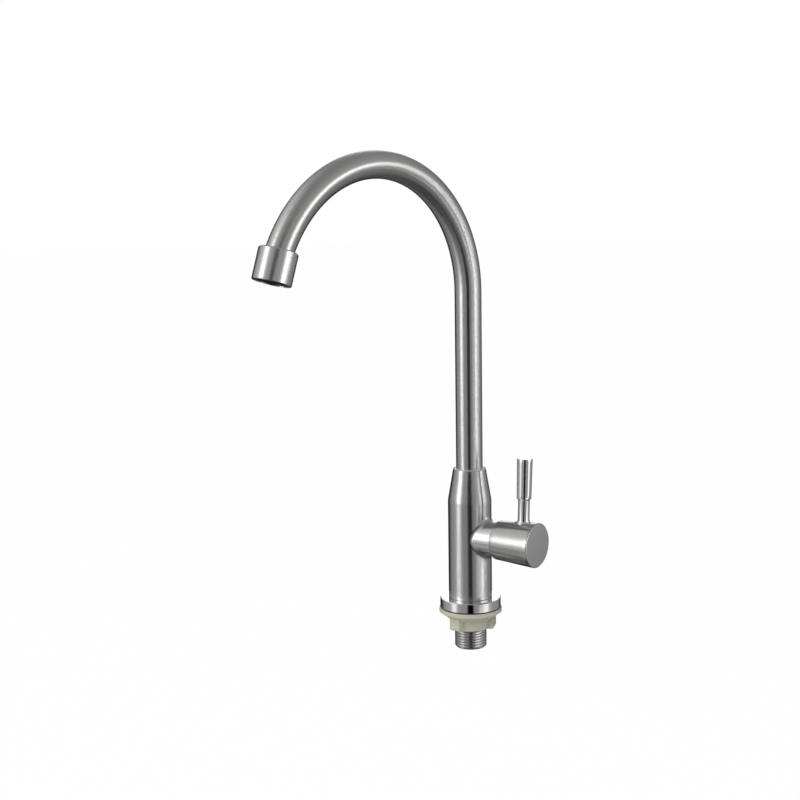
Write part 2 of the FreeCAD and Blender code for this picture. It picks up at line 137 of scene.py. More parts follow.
class Sketch:
    """Adds nodes to one tree, for shaders and Geometry Nodes alike."""

    def __init__(self, tree: bpy.types.NodeTree) -> None:
        """Keeps the tree."""
        self.tree = tree

    def add(self, kind: str, settings: Optional[dict] = None, inputs: Optional[dict] = None,
            output: Union[int, str] = 0) -> Socket:
        """Adds a node, sets it up, links its inputs, and returns one of its outputs.

        Args:
            kind: The node's type name.
            settings: Properties set before the sockets; "stops" fills a colour ramp.
            inputs: Values or Sockets by input name or number.
            output: The output to return.

        Returns:
            The chosen output.
        """
        node = self.tree.nodes.new(kind)
        for key, value in (settings or {}).items():
            if key == "stops":
                self._stops(node.color_ramp, value)
            else:
                setattr(node, key, value)
        for key, value in (inputs or {}).items():
            self.feed(node.inputs[key], value)
        return Socket(self, node.outputs[output]) if len(node.outputs) else Socket(self, None)

    def vector(self, operation: str, *values: Any, scale: Any = None, output: Union[int, str] = 0) -> Socket:
        """Adds one Vector Math node.

        Args:
            operation: The node's operation.
            values: Its vectors.
            scale: Its factor, which only SCALE takes.
            output: The output to return.

        Returns:
            The chosen output.
        """
        inputs = dict(enumerate(values))
        if scale is not None:
            inputs["Scale"] = scale
        return self.add("ShaderNodeVectorMath", {"operation": operation}, inputs, output)

    def mix(self, kind: Blend, factor: Any, first: Any, second: Any) -> Socket:
        """Adds one Mix node, which goes from the first value to the second with the factor."""
        low, high, output = kind.value
        inputs = {"Factor": factor, low: first, high: second}
        return self.add("ShaderNodeMix", {"data_type": kind.data_type}, inputs, output)

    def place(self) -> Socket:
        """Place on the object, in its own coordinates."""
        return self.add("ShaderNodeTexCoord", output="Object")

    def mark(self, mark: Mark) -> Socket:
        """Value of an attribute of the mesh."""
        return self.add("ShaderNodeAttribute", {"attribute_name": mark.value}, output="Fac")

    def to_world(self, direction: Any) -> Socket:
        """Turns a direction on the object into one in the world."""
        spaces = {"vector_type": "VECTOR", "convert_from": "OBJECT", "convert_to": "WORLD"}
        return self.add("ShaderNodeVectorTransform", spaces, {0: direction})

    def store(self, geometry: Socket, mark: Mark, value: Socket) -> Socket:
        """Leaves a value on each point of a geometry, and returns the geometry."""
        return self.add("GeometryNodeStoreNamedAttribute", {"data_type": "FLOAT", "domain": "POINT"},
                        {"Geometry": geometry, "Name": mark.value, "Value": value})

    @staticmethod
    def _stops(ramp: bpy.types.ColorRamp, stops: Sequence[tuple[float, float]]) -> None:
        """Fills a ramp with grey stops of (place, brightness)."""
        while len(ramp.elements) > 1:
            ramp.elements.remove(ramp.elements[-1])
        ramp.elements[0].position = stops[0][0]
        for place, _ in stops[1:]:
            ramp.elements.new(place)
        for element, (_, grey) in zip(ramp.elements, stops):
            element.color = (grey, grey, grey, 1.0)

    def feed(self, target: bpy.types.NodeSocket, value: Any) -> None:
        """Links a Socket to an input, or sets a plain value on it."""
        if isinstance(value, Socket):
            self.tree.links.new(value.socket, target)
        else:
            target.default_value = value


@dataclass(frozen=True)
class Finish:
    """A plain surface, the same all over."""

    name: str
    colour: Colour
    roughness: float
    metallic: float = 0.0

    def _shader(self) -> tuple[bpy.types.Material, Sketch, bpy.types.Node]:
        """Makes the material with its constants set.

        Returns:
            The material, a sketch of its tree, and its shader node.
        """
        material = bpy.data.materials.new(self.name)
        material.use_nodes = True
        shader = material.node_tree.nodes["Principled BSDF"]
        shader.inputs["Base Color"].default_value = (*self.colour, 1.0)
        shader.inputs["Roughness"].default_value = self.roughness
        shader.inputs["Metallic"].default_value = self.metallic
        return material, Sketch(material.node_tree), shader

    def _toned(self, sketch: Sketch, factor: Socket, low: float, high: float) -> Socket:
        """Colour that goes from a darker to a lighter tone of the finish.

        Args:
            sketch: The material's sketch.
            factor: Zero for the darker tone and one for the lighter.
            low: The darker tone's share of the finish's colour.
            high: The lighter tone's share.

        Returns:
            The colour.
        """
        dark, light = ((*(min(1.0, part * share) for part in self.colour), 1.0) for share in (low, high))
        return sketch.mix(Blend.COLOUR, factor, dark, light)

    def make(self) -> bpy.types.Material:
        """The finish as a material."""
        return self._shader()[0]


@dataclass(frozen=True)
class Bend:
    """Centre of a bent tube's arc and the level direction square to the arc's plane, in the rest pose."""

    centre: Place
    square: Place


@dataclass(frozen=True)
class BrushedSteel(Finish):
    """Satin steel whose fine lines run round a piece and tilt its surface to and fro along its axis."""

    LEVEL: ClassVar[Place] = (1.0, 1.0, 0.0)
    ABOVE_BEND: ClassVar[Place] = (-1.0, -1.0, 0.0)

    lay: Optional[BrushLay] = None
    bend: Optional[Bend] = None
    side_from: Optional[float] = None
    tilt: float = 0.0
    side_tilt: float = 0.0
    scratches_per_line: float = 28.0
    lines_per_metre: float = 2600.0
    lines_round: float = 1.5
    line_detail: float = 3.0
    line_roughness: float = 0.65
    drift_per_metre: float = 30.0
    roughness_play: float = 0.08
    tone_play: float = 0.06

    def _line_place(self, sketch: Sketch) -> Socket:
        """Coordinates in which the noise is drawn out into lines."""
        if self.lay is None:
            run = sketch.mark(Mark.RUN) * self.lines_per_metre
            turn = sketch.mark(Mark.TURN) * self.lines_round
            return sketch.add("ShaderNodeCombineXYZ", None, {0: run, 1: turn, 2: 0.0})
        place = sketch.place()
        axis = self._axis(sketch)
        along = sketch.vector("DOT_PRODUCT", place, axis, output="Value")
        lines = sketch.vector("SCALE", axis, scale=along * self.lines_per_metre)
        drift = sketch.vector("SCALE", place, scale=self.drift_per_metre)
        return sketch.vector("ADD", lines, drift)

    def _axis(self, sketch: Sketch) -> Union[Socket, Place]:
        """Direction of the piece's axis, which for a bent tube turns round its bend.

        A piece with a side branch takes the branch's axis further than side_from from its own.
        """
        if self.bend is None and self.side_from is None:
            return self.lay.value
        if self.bend is None:
            branch = BrushLay.ALONG_BRANCH.value
            return sketch.mix(Blend.VECTOR, self._beside(sketch), self.lay.value, branch)
        out = sketch.vector("SUBTRACT", sketch.place(), self.bend.centre)
        over = sketch.vector("MAXIMUM", out, self.ABOVE_BEND)
        return sketch.vector("NORMALIZE", sketch.vector("CROSS_PRODUCT", self.bend.square, over))

    def _beside(self, sketch: Sketch) -> Socket:
        """One on the side branch, and zero on the rest of the piece."""
        level = sketch.vector("MULTIPLY", sketch.place(), self.LEVEL)
        return sketch.vector("LENGTH", level, output="Value").function("GREATER_THAN", self.side_from)

    def _tilted(self, sketch: Sketch, place: Socket) -> Socket:
        """Surface direction, tilted by the finest scratches of the brushing."""
        scratch = sketch.add("ShaderNodeTexNoise", None,
                             {"Vector": place, "Scale": self.scratches_per_line, "Detail": 0.0})
        reach = self.tilt
        if self.side_from is not None:
            reach = self.tilt + self._beside(sketch) * (self.side_tilt - self.tilt)
        axis = sketch.to_world(self._axis(sketch))
        lean = sketch.vector("SCALE", axis, scale=(scratch - NOISE_MEAN) * reach)
        bare = sketch.add("ShaderNodeNewGeometry", output="Normal")
        return sketch.vector("NORMALIZE", sketch.vector("ADD", bare, lean))

    def make(self) -> bpy.types.Material:
        """The finish as a material."""
        material, sketch, shader = self._shader()
        place = self._line_place(sketch)
        lines = sketch.add("ShaderNodeTexNoise", None, {
            "Vector": place, "Scale": 1.0, "Detail": self.line_detail, "Roughness": self.line_roughness})
        sketch.feed(shader.inputs["Roughness"], self.roughness + (lines - NOISE_MEAN) * self.roughness_play)
        sketch.feed(shader.inputs["Normal"], self._tilted(sketch, place))
        sketch.feed(shader.inputs["Base Color"], self._tone(sketch, lines))
        return material

    def _tone(self, sketch: Sketch, lines: Socket) -> Socket:
        """Colour of the steel, a little lighter and darker by its lines."""
        return self._toned(sketch, lines, 1 - self.tone_play, 1 + self.tone_play)


@dataclass(frozen=True)
class HandleSteel(BrushedSteel):
    """Brushed handle whose flat end face is painted lighter as a painted reflection, and turned to a faint
    crown.
    """

    end_from: float = 0.0517
    end_centre: Place = (0.0518, 0.0, 0.0475)
    # Painted reflection: the end face's lighter colour stands in for the bright surroundings it reflects.
    end_sheen_colour: Colour = (0.78, 0.777, 0.77)
    crown: float = 5.0

    def _end(self, sketch: Sketch) -> Socket:
        """One on the end face, and zero on the rest."""
        out = sketch.add("ShaderNodeSeparateXYZ", None, {0: sketch.place()}, "X")
        return out.function("GREATER_THAN", self.end_from)

    def _tilted(self, sketch: Sketch, place: Socket) -> Socket:
        """Surface direction, which leans outwards over the end face."""
        away = sketch.to_world(sketch.vector("SUBTRACT", sketch.place(), self.end_centre))
        lean = sketch.vector("SCALE", away, scale=self.crown)
        bare = sketch.add("ShaderNodeNewGeometry", output="Normal")
        crowned = sketch.vector("NORMALIZE", sketch.vector("ADD", bare, lean))
        return sketch.mix(Blend.VECTOR, self._end(sketch), super()._tilted(sketch, place), crowned)

    def _tone(self, sketch: Sketch, lines: Socket) -> Socket:
        """Colour of the steel, with the end face painted lighter as a painted reflection."""
        steel = super()._tone(sketch, lines)
        return sketch.mix(Blend.COLOUR, self._end(sketch), steel, (*self.end_sheen_colour, 1.0))


@dataclass(frozen=True)
class MouldedPlastic(Finish):
    """Moulded plastic with a faint mottle."""

    mottle_per_metre: float = 260.0
    mottle_detail: float = 2.0
    tone_play: float = 0.05

    def make(self) -> bpy.types.Material:
        """The finish as a material."""
        material, sketch, shader = self._shader()
        cloud = sketch.add("ShaderNodeTexNoise", None, {
            "Vector": sketch.place(), "Scale": self.mottle_per_metre, "Detail": self.mottle_detail})
        tone = self._toned(sketch, cloud, 1 - self.tone_play, 1 + self.tone_play)
        sketch.feed(shader.inputs["Base Color"], tone)
        return material


@dataclass(frozen=True)
class CutThread(Finish):
    """Cut steel thread whose roots are painted darker than its bright crests, as painted shade in the
    grooves.
    """

    root_shade: float = 0.45

    def make(self) -> bpy.types.Material:
        """The finish as a material."""
        material, sketch, shader = self._shader()
        # Painted shade: the colour darkens towards the thread's roots.
        tone = self._toned(sketch, sketch.mark(Mark.TOOTH), self.root_shade, 1.0)
        sketch.feed(shader.inputs["Base Color"], tone)
        return material


STEEL: Colour = (0.60, 0.597, 0.59)
# Painted shade: the handle's steel is the column's steel painted darker, so its flanks look dim.
SHADED_HANDLE_STEEL: Colour = (0.48, 0.478, 0.472)
OUTLET_STEEL: Colour = (0.67, 0.668, 0.662)
SPOUT_BEND = Bend(centre=(-0.0138, -0.0842, 0.2088), square=(0.98686, -0.1616, 0.0))


@dataclass
class Finishes:
    """All the finishes of the faucet, made once."""

    column: Finish = BrushedSteel("column brushed steel", STEEL, 0.14, 1.0, lay=BrushLay.UP_COLUMN, tilt=1.2,
                                  side_from=0.0150, side_tilt=0.4)
    branch: Finish = HandleSteel("handle brushed steel", SHADED_HANDLE_STEEL, 0.16, 1.0, lay=BrushLay.ALONG_BRANCH,
                                 tilt=0.4)
    outlet: Finish = BrushedSteel("outlet brushed steel", OUTLET_STEEL, 0.17, 1.0, lay=BrushLay.ALONG_OUTLET,
                                  tilt=0.9)
    tube: Finish = BrushedSteel("spout brushed steel", STEEL, 0.13, 1.0, bend=SPOUT_BEND, tilt=1.45)
    polished: Finish = Finish("polished steel", (0.80, 0.80, 0.805), 0.05, 1.0)
    thread: Finish = CutThread("thread steel", (0.63, 0.626, 0.608), 0.22, 1.0)
    rubber: Finish = Finish("black rubber", (0.022, 0.022, 0.023), 0.55)
    cream: Finish = MouldedPlastic("cream plastic", (0.525, 0.513, 0.415), 0.42)
    brass: Finish = Finish("machined brass", (0.70, 0.52, 0.24), 0.28, 1.0)
    bush: Finish = Finish("white bush plastic", (0.80, 0.80, 0.78), 0.4)
    black: Finish = Finish("black plastic", (0.012, 0.012, 0.013), 0.4)
    mesh: Finish = Finish("screen steel", (0.45, 0.45, 0.45), 0.35, 1.0)
    ceramic: Finish = Finish("ground ceramic", (0.86, 0.85, 0.81), 0.3)
    oxide: Finish = Finish("black oxide steel", (0.05, 0.05, 0.052), 0.35, 0.8)
    spring: Finish = Finish("spring steel", (0.40, 0.40, 0.41), 0.3, 1.0)
    made: dict[str, bpy.types.Material] = field(default_factory=dict)

    def of(self, name: str) -> bpy.types.Material:
        """The material of one finish, made at its first use."""
        if name not in self.made:
            self.made[name] = getattr(self, name).make()
        return self.made[name]


class RuleTree:
    """A Geometry Nodes tree with named size inputs."""

    def __init__(self, name: str, sizes: dict[str, float]) -> None:
        """Makes the tree and its inputs.

        Args:
            name: The tree's name.
            sizes: Each named size and its value.
        """
        self.group = bpy.data.node_groups.new(name, "GeometryNodeTree")
        self.sizes = sizes
        self.idents: dict[str, str] = {}
        interface = self.group.interface
        interface.new_socket("Geometry", in_out="OUTPUT", socket_type="NodeSocketGeometry")
        for size in sizes:
            made = interface.new_socket(size, in_out="INPUT", socket_type="NodeSocketFloat")
            self.idents[size] = made.identifier
        self.sketch = Sketch(self.group)
        self._given = self.group.nodes.new("NodeGroupInput")

    def size(self, name: str) -> Socket:
        """The socket of a named size."""
        return Socket(self.sketch, self._given.outputs[name])

    def close(self, geometry: Socket, material: bpy.types.Material) -> None:
        """Ends the tree in real geometry with its material."""
        real = self.sketch.add("GeometryNodeRealizeInstances", None, {"Geometry": geometry})
        dressed = self.sketch.add("GeometryNodeSetMaterial", None, {"Geometry": real, "Material": material})
        self.sketch.add("NodeGroupOutput", None, {0: dressed})

    def mesh(self, name: str, wall: float = 0.0) -> bpy.types.Mesh:
        """Runs the tree and returns a plain mesh.

        Args:
            name: The mesh's name.
            wall: Thickness that grows inwards from the surface, or zero for none.

        Returns:
            The mesh, with its material.
        """
        holder = bpy.data.objects.new(name, bpy.data.meshes.new(name + " seed"))
        bpy.context.scene.collection.objects.link(holder)
        rule = holder.modifiers.new("rule", "NODES")
        rule.node_group = self.group
        for size, value in self.sizes.items():
            rule[self.idents[size]] = value
        if wall:
            solid = holder.modifiers.new("wall", "SOLIDIFY")
            solid.thickness = wall
            solid.offset = -1.0
        graph = bpy.context.evaluated_depsgraph_get()
        mesh = bpy.data.meshes.new_from_object(holder.evaluated_get(graph), depsgraph=graph)
        holder.modifiers.clear()
        bpy.data.objects.remove(holder)
        mesh.name = name
        return mesh


class Workshop:
    """Turns meshes into finished pieces of the faucet."""

    SMOOTH_ANGLE = math.radians(28)
    FLAT_ANGLE = math.radians(0.5)
    MERGE_DISTANCE = 0.000002
    EDGE_STEPS = 2
    EDGE_PROFILE = 0.5

    def __init__(self, finishes: Finishes) -> None:
        """Keeps the finishes."""
        self.finishes = finishes

    def piece(self, name: str, mesh: bpy.types.Mesh, body: str, slot: str, *nodes: str) -> bpy.types.Object:
        """Makes a piece from a mesh that lies in place.

        Args:
            name: The piece's name.
            mesh: The finished mesh.
            body: The moving body it rides on.
            slot: Not used.
            nodes: The solids it stands for.

        Returns:
            The piece.
        """
        made = bpy.data.objects.new(name, mesh)
        bpy.context.scene.collection.objects.link(made)
        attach(made, body)
        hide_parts(*nodes)
        LOG.info("%s: %d faces", name, len(mesh.polygons))
        return made

    def smooth(self, mesh: bpy.types.Mesh, angle: float = SMOOTH_ANGLE) -> bpy.types.Mesh:
        """Shaded copy of a mesh: round faces smooth, wide faces flat, edges past an angle sharp."""
        mesh.shade_smooth()
        mesh.set_sharp_from_angle(angle=angle)
        holder = bpy.data.objects.new("shading", mesh)
        bpy.context.scene.collection.objects.link(holder)
        weigh = holder.modifiers.new("weigh", "WEIGHTED_NORMAL")
        weigh.keep_sharp = True
        graph = bpy.context.evaluated_depsgraph_get()
        shaded = bpy.data.meshes.new_from_object(holder.evaluated_get(graph), depsgraph=graph)
        bpy.data.objects.remove(holder)
        return shaded

    def smooth_copy(self, node: str, finish: str, edge: float = 0.0) -> bpy.types.Mesh:
        """Copies a solid's mesh with its corners joined and its curves shaded smooth.

        Args:
            node: The solid.
            finish: The finish it gets.
            edge: Width of a small rounding on its sharp edges, or zero.

        Returns:
            The copy.
        """
        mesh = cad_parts[node].data.copy()
        mesh.name = node + " skin"
        work = bmesh.new()
        work.from_mesh(mesh)
        bmesh.ops.remove_doubles(work, verts=work.verts, dist=self.MERGE_DISTANCE)
        bmesh.ops.dissolve_degenerate(work, edges=work.edges, dist=self.MERGE_DISTANCE)
        if edge:
            bmesh.ops.dissolve_limit(work, angle_limit=self.FLAT_ANGLE, verts=work.verts, edges=work.edges)
            joints = [e for e in work.edges if len(e.link_faces) == 2]
            sharp = [e for e in joints if e.calc_face_angle() > self.SMOOTH_ANGLE]
            bmesh.ops.bevel(work, geom=sharp, offset=edge, segments=self.EDGE_STEPS,
                            profile=self.EDGE_PROFILE, affect="EDGES", clamp_overlap=True)
        work.to_mesh(mesh)
        work.free()
        mesh.materials.clear()
        mesh.materials.append(self.finishes.of(finish))
        return self.smooth(mesh)

    def skin(self, node: str, body: str, slot: str, finish: str, edge: float = 0.0) -> bpy.types.Object:
        """Puts a smooth copy of a solid in its place."""
        return self.piece(node + "_skin", self.smooth_copy(node, finish, edge), body, slot, node)

    def lathe(self, profile: Sequence[tuple[float, float]], sides: int = 128) -> bpy.types.Mesh:
        """Turns a closed half section about Z.

        Args:
            profile: Corners as (radius, height), once round.
            sides: Steps round the axis.

        Returns:
            The turned mesh.
        """
        work = bmesh.new()
        verts = [work.verts.new((radius, 0.0, height)) for radius, height in profile]
        edges = [work.edges.new((a, b)) for a, b in zip(verts, verts[1:] + verts[:1])]
        bmesh.ops.spin(work, geom=verts + edges, cent=(0, 0, 0), axis=(0, 0, 1), angle=math.tau, steps=sides)
        bmesh.ops.remove_doubles(work, verts=work.verts, dist=self.MERGE_DISTANCE)
        bmesh.ops.recalc_face_normals(work, faces=work.faces)
        mesh = bpy.data.meshes.new("turned")
        work.to_mesh(mesh)
        work.free()
        return self.smooth(mesh)

    def paint(self, **finishes: str) -> None:
        """Gives each solid that keeps its own mesh its finish, by the solid's name."""
        for node, finish in finishes.items():
            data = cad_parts[node].data
            data.materials.clear()
            data.materials.append(self.finishes.of(finish))


@dataclass
class BaseGroup:
    """Column with its branch, trim flange, gasket and threaded inlet shank."""

    shop: Workshop
    crest_radius: float = 0.0104775
    root_radius: float = 0.0100
    bore_radius: float = 0.0070
    pitch: float = 0.0018143
    shank_foot: float = -0.0279
    thread_top: float = -0.0002
    shank_top: float = 0.0197
    plain_radius: float = 0.0098965
    chamfer: float = 0.0010
    core_inset: float = 0.00025
    seam_distance: float = 0.00001
    crest_angle: float = 50.0
    root_share: float = 0.06
    flank_share: float = 0.30
    turns_round: int = 112
    rows_per_turn: int = 16

    def build(self) -> None:
        """Builds and dresses the group."""
        self.shop.skin("main_body", "base", "brushed_steel", "column")
        self.shop.skin("base_flange", "base", "polished_steel", "polished")
        self._shank()
        self.shop.paint(base_gasket="rubber", spout_bush="bush", spout_lock_screw="oxide",
                        cartridge_body="brass", valve_seal="rubber", fixed_disc="ceramic")

    def _thread_tree(self) -> RuleTree:
        """Rule of the thread: a rolled sheet whose radius follows the helix.

        Returns:
            The tree, open at both ends.
        """
        tree = RuleTree("pipe thread", {
            "Crest": self.crest_radius, "Root": self.root_radius, "Pitch": self.pitch,
            "Foot": self.shank_foot, "Height": self.thread_top - self.shank_foot, "Chamfer": self.chamfer})
        sketch = tree.sketch
        rows = int((self.thread_top - self.shank_foot) / self.pitch * self.rows_per_turn)
        sheet = sketch.add("GeometryNodeMeshGrid", None, {
            "Size X": 1.0, "Size Y": 1.0, "Vertices X": self.turns_round + 1, "Vertices Y": rows})
        place = sketch.add("GeometryNodeInputPosition")
        part_round, part_up = (sketch.add("ShaderNodeSeparateXYZ", None, {0: place}, side) + 0.5
                               for side in ("X", "Y"))
        height = tree.size("Foot") + part_up * tree.size("Height")
        angle = part_round * math.tau
        phase = (height / tree.size("Pitch") - part_round).function("FRACT")
        off_root = (phase - 0.5).function("ABSOLUTE") * 2 - self.root_share
        tooth = (off_root / self.flank_share).function("MAXIMUM", 0.0).function("MINIMUM", 1.0)
        radius = tree.size("Root") + tooth * (tree.size("Crest") - tree.size("Root"))
        lead = tree.size("Crest") - tree.size("Chamfer") + (height - tree.size("Foot"))
        radius = radius.function("MINIMUM", lead)
        rolled = sketch.add("ShaderNodeCombineXYZ", None, {
            0: radius * angle.function("COSINE"), 1: radius * angle.function("SINE"), 2: height})
        # The tooth value also drives the thread finish's painted shade in the roots.
        marked = sketch.store(sheet, Mark.TOOTH, tooth)
        moved = sketch.add("GeometryNodeSetPosition", None, {"Geometry": marked, "Position": rolled})
        closed = sketch.add("GeometryNodeMergeByDistance", None,
                            {"Geometry": moved, "Distance": self.seam_distance})
        soft = sketch.add("GeometryNodeSetShadeSmooth", None, {0: closed})
        tree.close(soft, self.shop.finishes.of("thread"))
        return tree

    def _shank(self) -> None:
        """Threaded shank with its bore and its plain end inside the body."""
        mesh = self._thread_tree().mesh("threaded shank")
        core_radius = self.root_radius - self.core_inset
        core = self.shop.lathe([
            (self.bore_radius, self.shank_foot), (self.crest_radius - self.chamfer, self.shank_foot),
            (core_radius, self.shank_foot + self.chamfer), (core_radius, self.thread_top),
            (self.plain_radius, self.thread_top), (self.plain_radius, self.shank_top),
            (self.bore_radius, self.shank_top)])
        work = bmesh.new()
        work.from_mesh(mesh)
        work.from_mesh(core)
        work.to_mesh(mesh)
        work.free()
        mesh = self.shop.smooth(mesh, math.radians(self.crest_angle))
        self.shop.piece("threaded_shank", mesh, "base", "thread_steel", "inlet_shank")


@dataclass
class NutGroup:
    """Cream plastic back nut and its rubber washer."""

    shop: Workshop
    edge: float = 0.0004

    def build(self) -> None:
        """Builds and dresses the group."""
        self.shop.skin("mounting_nut", "nut", "cream_plastic", "cream", self.edge)
        self.shop.skin("nut_washer", "washer", "black_rubber", "rubber")


@dataclass
class SpoutGroup:
    """Gooseneck tube with its outlet sleeve and aerator."""

    shop: Workshop
    tube_radius: float = 0.0087
    tube_wall: float = 0.0010
    foot: float = 0.0831
    bend_height: float = 0.2088
    bend_radius: float = 0.08535
    outlet_lean: float = 19.1
    rest_swing: float = 9.3
    end_inset: float = 0.0045
    steps_along: int = 360
    steps_round: int = 96

    def build(self) -> None:
        """Builds and dresses the group."""
        mesh = self._tube_tree().mesh("spout tube", self.tube_wall)
        mesh.transform(Matrix.Rotation(math.radians(-self.rest_swing), 4, "Z"))
        self.shop.piece("gooseneck_tube", self.shop.smooth(mesh), "spout", "brushed_steel", "spout_tube")
        self.shop.skin("outlet_housing", "spout", "brushed_steel", "outlet")
        self.shop.skin("aerator_insert", "spout", "black_plastic", "black")
        self.shop.paint(spout_adapter="brass", spout_o_rings="rubber", outlet_washer="rubber",
                        outlet_screen="mesh")

    def _tube_tree(self) -> RuleTree:
        """Rule of the gooseneck: a straight rise, then an arc about the bend's centre.

        Returns:
            The tree of the tube's outer surface.
        """
        sweep = math.pi - math.radians(self.outlet_lean) - self.end_inset / self.bend_radius
        tree = RuleTree("gooseneck", {
            "Foot": self.foot, "Bend Height": self.bend_height, "Bend Radius": self.bend_radius,
            "Sweep": sweep, "Tube Radius": self.tube_radius})
        sketch = tree.sketch
        rise = tree.size("Bend Height") - tree.size("Foot")
        length = rise + tree.size("Bend Radius") * tree.size("Sweep")
        line = sketch.add("GeometryNodeCurvePrimitiveLine", None, {"Start": (0, 0, 0), "End": (0, 0, 1)})
        path = sketch.add("GeometryNodeResampleCurve", None, {"Curve": line, "Count": self.steps_along})
        run = sketch.add("GeometryNodeSplineParameter", output="Factor") * length
        kept = sketch.store(path, Mark.RUN, run)
        bent = (run - rise).function("MAXIMUM", 0.0) / tree.size("Bend Radius")
        forward = (bent.function("COSINE") - 1) * tree.size("Bend Radius")
        straight = tree.size("Foot") + run.function("MINIMUM", rise)
        height = straight + bent.function("SINE") * tree.size("Bend Radius")
        place = sketch.add("ShaderNodeCombineXYZ", None, {0: 0.0, 1: forward, 2: height})
        curve = sketch.add("GeometryNodeSetPosition", None, {"Geometry": kept, "Position": place})
        section = sketch.add("GeometryNodeCurvePrimitiveCircle", {"mode": "RADIUS"},
                             {"Resolution": self.steps_round, "Radius": tree.size("Tube Radius")})
        turn = sketch.add("GeometryNodeSplineParameter", output="Factor")
        marked = sketch.store(section, Mark.TURN, turn)
        tube = sketch.add("GeometryNodeCurveToMesh", None, {"Curve": curve, "Profile Curve": marked})
        tree.close(tube, self.shop.finishes.of("tube"))
        return tree


@dataclass
class HandleGroup:
    """Tapered handle with its polished lever, and the valve pieces that turn with it."""

    shop: Workshop

    def build(self) -> None:
        """Builds and dresses the group."""
        self.shop.skin("handle_shell", "handle", "brushed_steel", "branch")
        self.shop.skin("lever", "handle", "polished_steel", "polished")
        self.shop.paint(handle_lock_screw="oxide", cartridge_stem="brass", moving_disc="ceramic",
                        stem_o_rings="rubber", stem_clip="spring")


def level_way(bearing: float) -> Place:
    """Level direction at a bearing from the front, in degrees towards the branch."""
    turn = math.radians(bearing)
    return (math.sin(turn), -math.cos(turn), 0.0)


@dataclass(frozen=True)
class Softbox:
    """A soft patch of the surroundings, in degrees from the camera's bearing and from level.

    Its centre is at its bearing and height. It reaches its width to each side, and as far as tall says up
    and down. The higher its edge, the sharper it ends.
    """

    bearing: float
    height: float
    width: float
    tall: float
    level: float
    edge: int = 2

    def glow(self, sketch: Sketch, way: Socket, lift: Socket, azimuth: float) -> Socket:
        """Level of the patch towards a direction.

        Args:
            sketch: The world's sketch.
            way: The direction.
            lift: The direction's upright share.
            azimuth: The camera's bearing.

        Returns:
            The level, which falls off past the patch's edges.
        """
        centre = azimuth + self.bearing
        ahead, aside = (sketch.vector("DOT_PRODUCT", way, level_way(angle), output="Value")
                        for angle in (centre, centre + 90))
        across = aside.function("ARCTAN2", ahead) / math.radians(self.width)
        up = (lift.function("ARCSINE") - math.radians(self.height)) / math.radians(self.tall)
        wide, high = (part.function("ABSOLUTE").function("POWER", self.edge) for part in (across, up))
        return (0 - (wide + high)).function("EXPONENT") * self.level


